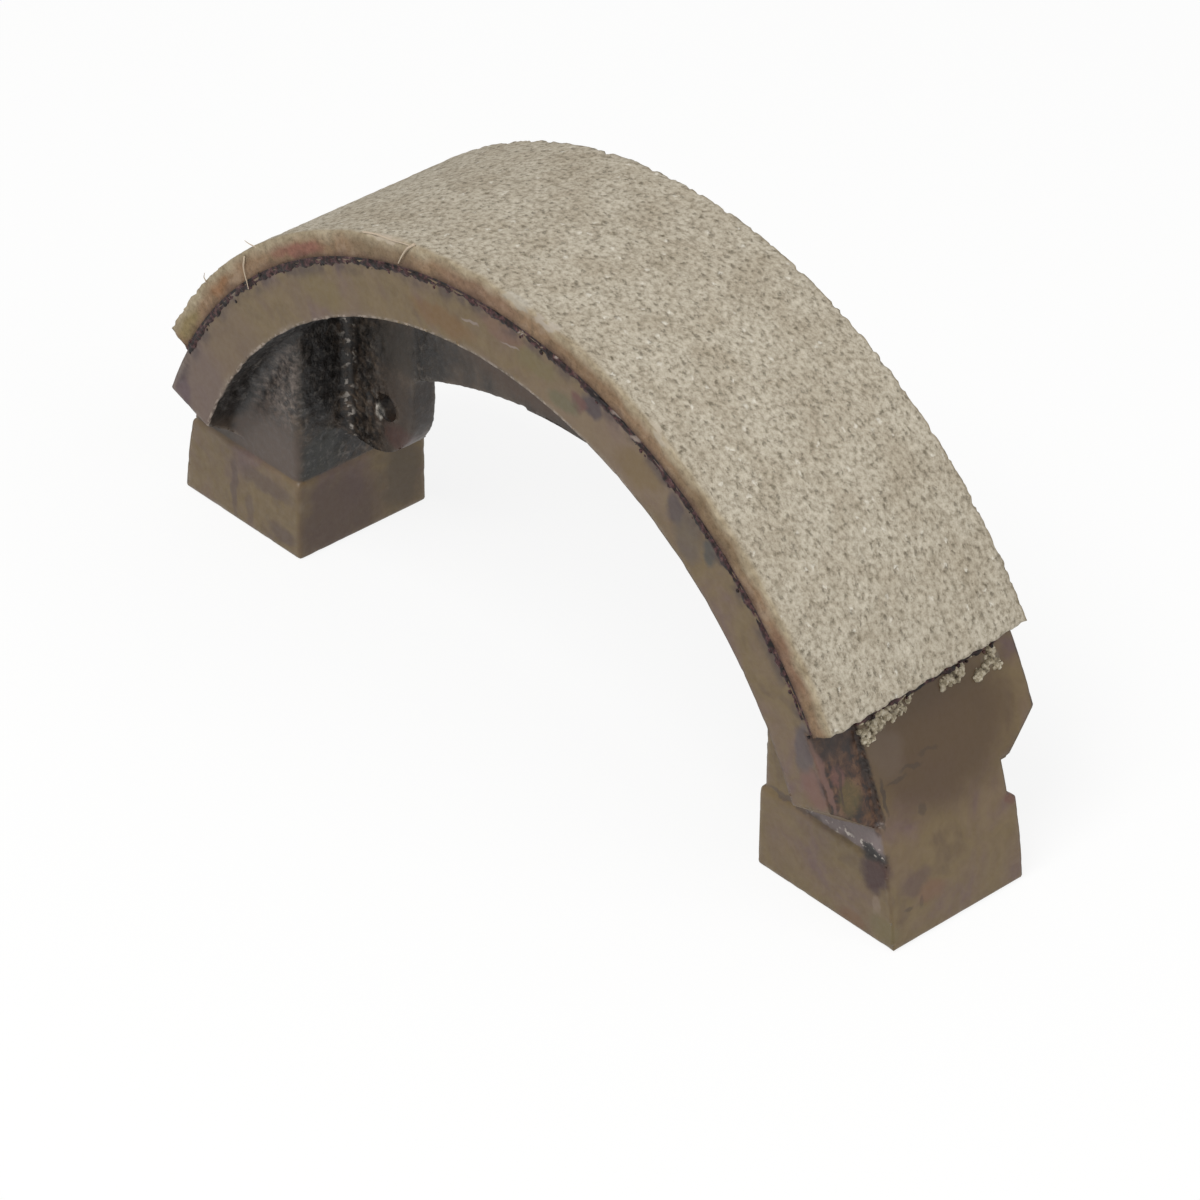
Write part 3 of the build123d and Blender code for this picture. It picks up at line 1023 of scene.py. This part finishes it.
def box_grid(along, across, deep):
    """Corners from 0 to 1 and faces of a closed box whose six sides are grids."""
    shape = np.array([along, across, deep])
    keys, corners, faces = {}, [], []

    def corner(i, j, k):
        """The number of the corner at this place of the grid, shared by the faces that meet there."""
        key = (i, j, k)
        if key not in keys:
            keys[key] = len(corners)
            corners.append((i, j, k))
        return keys[key]

    def sheet(axis, level, flip):
        """Adds the grid of one side, turned over where its faces would look inwards."""
        a, b = [n for n in range(3) if n != axis]
        for p in range(shape[a]):
            for q in range(shape[b]):
                ring = []
                for dp, dq in ((0, 0), (1, 0), (1, 1), (0, 1)):
                    spot = [0, 0, 0]
                    spot[axis], spot[a], spot[b] = level, p + dp, q + dq
                    ring.append(corner(*spot))
                faces.append(ring[::-1] if flip else ring)

    sheet(2, 0, True)
    sheet(2, deep, False)
    sheet(1, 0, False)
    sheet(1, across, True)
    sheet(0, 0, True)
    sheet(0, along, False)
    return np.array(corners) / shape, np.array(faces)


# Angles in degrees: the bead along both sides, then the beads along the ends with their skews.
SIDE_BEAD_START, SIDE_BEAD_FINISH = 31.6, 150.0
END_BEADS = ((30.7, LINING_SKEW), (150.2, 0.0))


class SHOE_OT_dress_bond(bpy.types.Operator):
    """Give the bond its baked adhesive and run a blistered bead along both of its edges"""

    bl_idname = "shoe.dress_bond"
    bl_label = "Dress bond"

    def execute(self, context):
        sizes, _, half_width = shoe()
        adhesive = baked_adhesive()
        dress(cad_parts["bond_layer"], adhesive)
        angles = np.linspace(SIDE_BEAD_START, SIDE_BEAD_FINISH, 240)
        side_line = half_width - 0.1 * MM
        lines = [on_the_band(angles, sizes.rim_outer - 0.3 * MM, side * side_line) for side in (NEAR, FAR)]
        # Along the ends the bead runs over part of the width: -1 is the near side and 1 the far one.
        share = np.linspace(-0.6, 0.85, 60)
        for end, skew in END_BEADS:
            lines.append(on_the_band(end + skew * share, sizes.rim_outer + 0.05 * MM, share * half_width))
        paths, edges = joined_paths(lines)
        mesh = bpy.data.meshes.new("adhesive_bead")
        mesh.from_pydata(paths, edges, [])
        bead = new_object("adhesive_bead", mesh)
        radii = {"Bead radius": sizes.bead_radius, "Blister radius": sizes.blister_radius}
        grow(bead, bead_tree(adhesive), {**radii, "Seed": 7})
        # Along the sides the bead is flattened towards its line.
        places = vertex_places(bead.data)
        level = np.sign(places[:, 1]) * side_line
        outer = np.abs(places[:, 1]) > half_width - 1.2 * MM
        places[outer, 1] = (level + (places[:, 1] - level) * 0.6)[outer]
        move_vertices(bead.data, places)
        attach(bead, "root")
        return {"FINISHED"}


def joined_paths(lines):
    """The points of some lines in one list, and the edges that join each line's own points."""
    places, edges = [], []
    for line in lines:
        first = len(places)
        places.extend(line.tolist())
        edges.extend((i, i + 1) for i in range(first, len(places) - 1))
    return places, edges


def grow(piece, tree, values):
    """Runs a geometry tree on the piece with these inputs, and keeps the mesh."""
    modifier = piece.modifiers.new(tree.name, "NODES")
    modifier.node_group = tree
    for item in tree.interface.items_tree:
        if item.item_type == "SOCKET" and item.in_out == "INPUT" and item.name in values:
            modifier[item.identifier] = values[item.name]
    plain_mesh(piece)


def new_tree(name, inputs):
    """A geometry tree with a geometry input and output, and these named numbers."""
    tree = bpy.data.node_groups.new(name, "GeometryNodeTree")
    tree.interface.new_socket("Geometry", in_out="INPUT", socket_type="NodeSocketGeometry")
    for label, kind in inputs:
        tree.interface.new_socket(label, in_out="INPUT", socket_type=kind)
    tree.interface.new_socket("Geometry", in_out="OUTPUT", socket_type="NodeSocketGeometry")
    return tree, add_node(tree, "NodeGroupInput").outputs


def bead_tree(material):
    """A rough bead along a path, with blisters on it."""
    tree, given = new_tree(
        "squeezed_adhesive",
        [
            ("Bead radius", "NodeSocketFloat"),
            ("Blister radius", "NodeSocketFloat"),
            ("Seed", "NodeSocketInt"),
        ],
    )
    path = add_node(tree, "GeometryNodeMeshToCurve", inputs={"Mesh": given["Geometry"]})
    even = add_node(
        tree, "GeometryNodeResampleCurve", {"mode": "LENGTH"}, {"Curve": path.outputs[0], "Length": 0.3 * MM}
    )
    position = add_node(tree, "GeometryNodeInputPosition").outputs[0]
    swell = add_node(
        tree, "ShaderNodeTexNoise", {"noise_dimensions": "4D"},
        {"Vector": position, "W": given["Seed"], "Scale": per(2.2 * MM), "Detail": 2.0},
    )
    girth = add_node(
        tree, "ShaderNodeMapRange",
        inputs={
            "Value": swell.outputs["Fac"],
            "From Min": 0.32,
            "From Max": 0.68,
            "To Min": 0.4,
            "To Max": 1.6,
        },
    )
    sized = add_node(
        tree, "GeometryNodeSetCurveRadius", inputs={"Curve": even.outputs[0], "Radius": girth.outputs[0]}
    )
    ring = add_node(
        tree, "GeometryNodeCurvePrimitiveCircle", inputs={"Resolution": 12, "Radius": given["Bead radius"]}
    )
    tube = add_node(
        tree, "GeometryNodeCurveToMesh",
        inputs={"Curve": sized.outputs[0], "Profile Curve": ring.outputs[0], "Fill Caps": True},
    )
    tree.links.new(girth.outputs[0], tube.inputs["Scale"])
    ruffle = add_node(
        tree, "ShaderNodeTexNoise", {"noise_dimensions": "4D"},
        {"Vector": position, "W": given["Seed"], "Scale": per(0.7 * MM), "Detail": 3.0},
    )
    shove = add_node(
        tree, "ShaderNodeVectorMath", {"operation": "SUBTRACT"},
        {0: ruffle.outputs["Color"], 1: (0.5, 0.5, 0.5)},
    )
    scaled = add_node(
        tree, "ShaderNodeVectorMath", {"operation": "SCALE"}, {0: shove.outputs[0], "Scale": 0.9 * MM}
    )
    rough = add_node(
        tree, "GeometryNodeSetPosition", inputs={"Geometry": tube.outputs[0], "Offset": scaled.outputs[0]}
    )
    points = add_node(
        tree, "GeometryNodeResampleCurve", {"mode": "LENGTH"}, {"Curve": path.outputs[0], "Length": 0.35 * MM}
    )
    ball = add_node(
        tree, "GeometryNodeMeshIcoSphere", inputs={"Radius": given["Blister radius"], "Subdivisions": 1}
    )
    size = add_node(
        tree, "FunctionNodeRandomValue", {"data_type": "FLOAT"},
        {2: 0.3, 3: 1.2, "Seed": given["Seed"]},
    )
    chosen = add_node(
        tree, "FunctionNodeRandomValue", {"data_type": "BOOLEAN"},
        {"Probability": 0.55, "Seed": given["Seed"]},
    )
    scatter = add_node(
        tree, "FunctionNodeRandomValue", {"data_type": "FLOAT_VECTOR"},
        {0: (-0.5 * MM, -0.2 * MM, -0.6 * MM), 1: (0.5 * MM, 0.2 * MM, 0.3 * MM), "Seed": given["Seed"]},
    )
    moved = add_node(
        tree, "GeometryNodeSetPosition", inputs={"Geometry": points.outputs[0], "Offset": scatter.outputs[0]}
    )
    blisters = add_node(
        tree, "GeometryNodeInstanceOnPoints",
        inputs={
            "Points": moved.outputs[0],
            "Selection": chosen.outputs[3],
            "Instance": ball.outputs["Mesh"],
            "Scale": size.outputs[1],
        },
    )
    real = add_node(tree, "GeometryNodeRealizeInstances", inputs={"Geometry": blisters.outputs[0]})
    both = add_node(tree, "GeometryNodeJoinGeometry")
    tree.links.new(rough.outputs[0], both.inputs[0])
    tree.links.new(real.outputs[0], both.inputs[0])
    finish_tree(tree, both.outputs[0], material)
    return tree


def finish_tree(tree, geometry, material):
    """Ends a tree: instances made real, shaded smooth and given their material."""
    real = add_node(tree, "GeometryNodeRealizeInstances", inputs={"Geometry": geometry})
    soft = add_node(tree, "GeometryNodeSetShadeSmooth", inputs={"Geometry": real.outputs[0]})
    dressed = add_node(
        tree, "GeometryNodeSetMaterial", inputs={"Geometry": soft.outputs[0], "Material": material}
    )
    add_node(tree, "NodeGroupOutput", inputs={"Geometry": dressed.outputs[0]})


# Crumb heaps on the turned face: angle, place across in mm, spread in mm.
CRUMB_HEAPS = (
    (28.3, -9.2, 0.9),
    (28.8, -8.0, 1.2),
    (29.3, -6.4, 1.2),
    (29.6, -4.6, 1.1),
    (29.8, -2.8, 1.0),
    (30.0, -1.2, 0.8),
    (29.6, 4.2, 0.9),
    (29.7, 5.5, 1.0),
    (29.9, 6.8, 0.7),
    (28.6, 8.9, 0.7),
    (28.9, 10.3, 0.8),
    (29.9, 11.2, 0.9),
    (28.7, 11.8, 0.8),
    (30.7, 11.6, 0.8),
    (30.5, -9.3, 0.9),
    (30.6, -7.6, 1.0),
    (30.7, -5.8, 1.0),
    (30.8, -4.2, 0.8),
    (30.9, -2.2, 0.7),
    (31.0, 4.8, 0.8),
    (31.1, 6.2, 0.7),
    (31.1, 9.4, 0.7),
    (31.2, 10.8, 0.8),
)


# The strip that holds the crumbs: its angles in degrees, and its grid along and across.
CRUMB_START, CRUMB_FINISH = 26.5, 31.9
CRUMB_GRID = (24, 110)


class SHOE_OT_scatter_crumbs(bpy.types.Operator):
    """Scatter crumbs of lining over the turned face below the lining's end"""

    bl_idname = "shoe.scatter_crumbs"
    bl_label = "Scatter crumbs"

    def execute(self, context):
        sizes, _, half_width = shoe()
        steps_along, steps_across = CRUMB_GRID
        angles = np.linspace(CRUMB_START, CRUMB_FINISH, steps_along)
        widths = np.linspace(-half_width, half_width, steps_across)
        angle, y = (grid.ravel() for grid in np.meshgrid(angles, widths, indexing="ij"))
        places = on_the_band(angle, sizes.rim_outer, y)
        number = np.arange(steps_along * steps_across).reshape(steps_along, steps_across)
        rings = [number[:-1, :-1], number[1:, :-1], number[1:, 1:], number[:-1, 1:]]
        faces = np.stack(rings, axis=-1).reshape(-1, 4).tolist()
        mesh = bpy.data.meshes.new("lining_crumbs")
        mesh.from_pydata(places.tolist(), [], faces)
        # A thinner strewing against the lining's end, and the heaps over it.
        near_lining = ramp(angle, 30.4, 31.4) * 0.4
        density = near_lining * ramp(noise_at(places, 2.5 * MM, 21), -0.1, 0.4)
        for heap_angle, heap_y, heap_spread in CRUMB_HEAPS:
            reach = np.hypot(np.radians(angle - heap_angle) * sizes.rim_outer, y - heap_y * MM)
            density = np.maximum(density, ramp(-reach, -heap_spread * MM, -0.2 * MM))
        # None lie on the patch that the tool missed.
        density *= np.where(y < -half_width + sizes.low_spot_width, 0.0, 1.0)
        store(mesh, "crumb_density", density)
        crumbs = new_object("lining_crumbs", mesh)
        amounts = {"Crumb radius": sizes.crumb_radius, "Crumbs per area": 1.5e7}
        grow(crumbs, crumb_tree(compound_crumbs()), {**amounts, "Seed": 3})
        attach(crumbs, "root")
        return {"FINISHED"}


def crumb_tree(material):
    """Crumbs strewn over a surface where its crumb density says."""
    tree, given = new_tree(
        "strewn_crumbs",
        [
            ("Crumb radius", "NodeSocketFloat"),
            ("Crumbs per area", "NodeSocketFloat"),
            ("Seed", "NodeSocketInt"),
        ],
    )
    density = add_node(
        tree, "GeometryNodeInputNamedAttribute", {"data_type": "FLOAT"}, {"Name": "crumb_density"}
    )
    thick = add_node(
        tree, "ShaderNodeMath", {"operation": "MULTIPLY"},
        {0: density.outputs[0], 1: given["Crumbs per area"]},
    )
    points = add_node(
        tree, "GeometryNodeDistributePointsOnFaces",
        inputs={"Mesh": given["Geometry"], "Density": thick.outputs[0], "Seed": given["Seed"]},
    )
    ball = add_node(
        tree, "GeometryNodeMeshIcoSphere", inputs={"Radius": given["Crumb radius"], "Subdivisions": 1}
    )
    size = add_node(
        tree, "FunctionNodeRandomValue", {"data_type": "FLOAT"}, {2: 0.4, 3: 1.9, "Seed": given["Seed"]}
    )
    turn = add_node(
        tree, "FunctionNodeRandomValue", {"data_type": "FLOAT_VECTOR"},
        {0: (0.0, 0.0, 0.0), 1: (6.3, 6.3, 6.3), "Seed": given["Seed"]},
    )
    placed = add_node(
        tree, "GeometryNodeInstanceOnPoints",
        inputs={
            "Points": points.outputs["Points"],
            "Instance": ball.outputs["Mesh"],
            "Rotation": turn.outputs[0],
            "Scale": size.outputs[1],
        },
    )
    real = add_node(tree, "GeometryNodeRealizeInstances", inputs={"Geometry": placed.outputs[0]})
    position = add_node(tree, "GeometryNodeInputPosition").outputs[0]
    ruffle = add_node(
        tree, "ShaderNodeTexNoise", inputs={"Vector": position, "Scale": per(0.3 * MM), "Detail": 1.0}
    )
    shove = add_node(
        tree, "ShaderNodeVectorMath", {"operation": "SUBTRACT"},
        {0: ruffle.outputs["Color"], 1: (0.5, 0.5, 0.5)},
    )
    scaled = add_node(
        tree, "ShaderNodeVectorMath", {"operation": "SCALE"}, {0: shove.outputs[0], "Scale": 0.4 * MM}
    )
    broken = add_node(
        tree, "GeometryNodeSetPosition", inputs={"Geometry": real.outputs[0], "Offset": scaled.outputs[0]}
    )
    finish_tree(tree, broken.outputs[0], material)
    return tree


# Strands standing off the lining's near edge: their own radius in mm, then their points, each with its
# angle, its radius round the axis and its place across.
STRANDS = (
    (0.09, ((128.0, 64.6, -15.0), (128.4, 65.3, -15.3), (128.9, 66.0, -15.4))),
    (0.08, ((139.6, 64.7, -15.1), (139.1, 65.3, -15.4), (138.4, 65.6, -15.5))),
    (0.13, ((130.5, 64.4, -15.2), (131.1, 63.5, -15.5), (131.8, 62.3, -15.4), (132.4, 60.9, -15.4))),
    (0.17, ((100.3, 65.2, -15.0), (101.2, 64.6, -15.4), (102.2, 63.4, -15.5), (103.2, 62.3, -15.3))),
    (0.13, ((108.6, 65.0, -14.9), (106.0, 65.1, -15.1), (103.5, 64.9, -15.2), (101.0, 64.9, -15.2))),
)


class SHOE_OT_pull_strands(bpy.types.Operator):
    """Pull a few strands of roving out of the lining's moulded edge"""

    bl_idname = "shoe.pull_strands"
    bl_label = "Pull strands"

    def execute(self, context):
        lines, thickness = [], []
        for radius, points in STRANDS:
            angle, reach, across = np.array(points).T
            steps = np.linspace(0, len(points) - 1, 14)
            known = np.arange(len(points))
            strand = on_the_band(
                np.interp(steps, known, angle),
                np.interp(steps, known, reach) * MM,
                np.interp(steps, known, across) * MM,
            )
            strand += 0.12 * MM * np.sin(3 * steps)[:, None] * np.array([0.6, -0.3, 0.6])
            lines.append(strand)
            thickness.extend((radius * MM * (1 - 0.6 * steps / steps[-1])).tolist())
        places, edges = joined_paths(lines)
        mesh = bpy.data.meshes.new("pulled_strands")
        mesh.from_pydata(places, edges, [])
        store(mesh, "strand_radius", thickness)
        strands = new_object("pulled_strands", mesh)
        grow(strands, strand_tree(glass_fibre(context.scene.shoe_colours)), {"Sides": 7})
        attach(strands, "root")
        return {"FINISHED"}


def strand_tree(material):
    """Round strands along paths, as thick as their strand radius says."""
    tree, given = new_tree("round_strands", [("Sides", "NodeSocketInt")])
    path = add_node(tree, "GeometryNodeMeshToCurve", inputs={"Mesh": given["Geometry"]})
    radius = add_node(
        tree, "GeometryNodeInputNamedAttribute", {"data_type": "FLOAT"}, {"Name": "strand_radius"}
    )
    ring = add_node(
        tree, "GeometryNodeCurvePrimitiveCircle", inputs={"Resolution": given["Sides"], "Radius": 1.0}
    )
    tube = add_node(
        tree, "GeometryNodeCurveToMesh",
        inputs={"Curve": path.outputs[0], "Profile Curve": ring.outputs[0], "Fill Caps": True},
    )
    tree.links.new(radius.outputs[0], tube.inputs["Scale"])
    finish_tree(tree, tube.outputs[0], material)
    return tree


# The floor reaches this many metres each way from the middle, to these corners.
FLOOR_REACH = 2.0
FLOOR_CORNERS = ((-1, -1), (1, -1), (1, 1), (-1, 1))


class SHOE_OT_set_stage(bpy.types.Operator):
    """Set the pale floor, the soft studio light and the camera"""

    bl_idname = "shoe.set_stage"
    bl_label = "Set stage"

    def execute(self, context):
        scene = context.scene
        settings = scene.shoe_stage
        if settings.distance < scene.shoe_sizes.drum_radius:
            raise RuntimeError("The camera would stand inside the shoe")
        scene.view_settings.view_transform = "Standard"
        mesh = bpy.data.meshes.new("studio_floor")
        corners = [(x * FLOOR_REACH, y * FLOOR_REACH, 0) for x, y in FLOOR_CORNERS]
        mesh.from_pydata(corners, [], [(0, 1, 2, 3)])
        floor = new_object("studio_floor", mesh)
        dress(floor, pale_floor())

        world = bpy.data.worlds.new("studio_air")
        scene.world = world
        world.use_nodes = True
        tree = world.node_tree
        tree.nodes.clear()
        air = add_node(tree, "ShaderNodeBackground", inputs={"Color": paint("#FFFFFF"), "Strength": 0.45})
        white = add_node(tree, "ShaderNodeBackground", inputs={"Color": paint("#FFFFFF"), "Strength": 1.0})
        seen = seen_directly(tree)
        mixed = add_node(
            tree, "ShaderNodeMixShader", inputs={0: seen, 1: air.outputs[0], 2: white.outputs[0]}
        )
        add_node(tree, "ShaderNodeOutputWorld", inputs={"Surface": mixed.outputs[0]})

        softbox("key_softbox", azimuth=12, elevation=60, distance=0.9, size=0.45, power=4.9)
        softbox("fill_softbox", azimuth=100, elevation=40, distance=1.0, size=0.6, power=2.2)

        camera = bpy.data.objects.new("camera", bpy.data.cameras.new("camera"))
        scene.collection.objects.link(camera)
        back = direction(settings.azimuth, settings.elevation)
        camera.location = TARGET + back * settings.distance
        look = (-back).to_track_quat("-Z", "Y")
        camera.rotation_mode = "QUATERNION"
        camera.rotation_quaternion = look @ Quaternion((0, 0, 1), settings.roll)
        camera.data.lens = settings.lens
        camera.data.sensor_width = 36.0
        camera.data.clip_start = 0.01
        scene.camera = camera
        return {"FINISHED"}


def direction(azimuth, elevation):
    """From the object towards a viewer at that azimuth and elevation."""
    return Vector(
        (
            math.sin(azimuth) * math.cos(elevation),
            -math.cos(azimuth) * math.cos(elevation),
            math.sin(elevation),
        )
    )


def softbox(name, azimuth, elevation, distance, size, power):
    """A square lamp aimed at the origin: angles in degrees, lengths in metres, power in watts."""
    lamp = bpy.data.lights.new(name, "AREA")
    lamp.shape = "SQUARE"
    lamp.size = size
    lamp.energy = power
    holder = bpy.data.objects.new(name, lamp)
    bpy.context.scene.collection.objects.link(holder)
    away = direction(math.radians(azimuth), math.radians(elevation))
    holder.location = away * distance
    holder.rotation_mode = "QUATERNION"
    holder.rotation_quaternion = (-away).to_track_quat("-Z", "Y")


def seen_directly(tree):
    """1 where a ray comes from the camera, a reflection or a clear body."""
    rays = add_node(tree, "ShaderNodeLightPath").outputs
    either = add_node(
        tree, "ShaderNodeMath", {"operation": "MAXIMUM"}, {0: rays["Is Camera Ray"], 1: rays["Is Glossy Ray"]}
    )
    any_of = add_node(
        tree, "ShaderNodeMath", {"operation": "MAXIMUM"},
        {0: either.outputs[0], 1: rays["Is Transmission Ray"]},
    )
    return any_of.outputs[0]


def pale_floor():
    """A sweep of matt white paper: even, soft and without a pattern."""
    material = bpy.data.materials.new("white_paper")
    material.use_nodes = True
    tree = material.node_tree
    tree.nodes.clear()
    paper = add_node(tree, "ShaderNodeBsdfDiffuse", inputs={"Color": paint("#F4F4F2")})
    glow = add_node(tree, "ShaderNodeEmission", inputs={"Color": paint("#FFFFFF"), "Strength": 1.0})
    share = add_node(
        tree, "ShaderNodeMath", {"operation": "MULTIPLY"}, {0: seen_directly(tree), 1: 0.85}
    )
    mixed = add_node(
        tree, "ShaderNodeMixShader", inputs={0: share.outputs[0], 1: paper.outputs[0], 2: glow.outputs[0]}
    )
    add_node(tree, "ShaderNodeOutputMaterial", inputs={"Surface": mixed.outputs[0]})
    return material


# ---------------------------------------------------------------- panel and registration


class SHOE_PT_panel(bpy.types.Panel):
    """Lists the shoe's sizes, colours and steps"""

    bl_label = "Brake Shoe"
    bl_space_type = "VIEW_3D"
    bl_region_type = "UI"
    bl_category = "Brake Shoe"

    def draw(self, context):
        for group in (context.scene.shoe_sizes, context.scene.shoe_colours, context.scene.shoe_stage):
            box = self.layout.box()
            for name in group.__annotations__:
                box.prop(group, name)
        for step in STEPS:
            self.layout.operator(step.bl_idname)


STEPS = (
    SHOE_OT_make_casting,
    SHOE_OT_make_lining,
    SHOE_OT_dress_bond,
    SHOE_OT_scatter_crumbs,
    SHOE_OT_pull_strands,
    SHOE_OT_set_stage,
)
CLASSES = (ShoeSizes, ShoeColours, StageSettings, *STEPS, SHOE_PT_panel)


def register():
    """Adds the add-on's classes and settings to Blender."""
    for cls in CLASSES:
        bpy.utils.register_class(cls)
    bpy.types.Scene.shoe_sizes = PointerProperty(type=ShoeSizes)
    bpy.types.Scene.shoe_colours = PointerProperty(type=ShoeColours)
    bpy.types.Scene.shoe_stage = PointerProperty(type=StageSettings)


def unregister():
    """Takes the add-on's settings and classes out of Blender."""
    del bpy.types.Scene.shoe_stage
    del bpy.types.Scene.shoe_colours
    del bpy.types.Scene.shoe_sizes
    for cls in reversed(CLASSES):
        bpy.utils.unregister_class(cls)


def main():
    """Builds the shoe and its stage."""
    register()
    bpy.ops.shoe.make_casting()
    bpy.ops.shoe.make_lining()
    bpy.ops.shoe.dress_bond()
    bpy.ops.shoe.scatter_crumbs()
    bpy.ops.shoe.pull_strands()
    bpy.ops.shoe.set_stage()


if __name__ == "__main__":
    main()
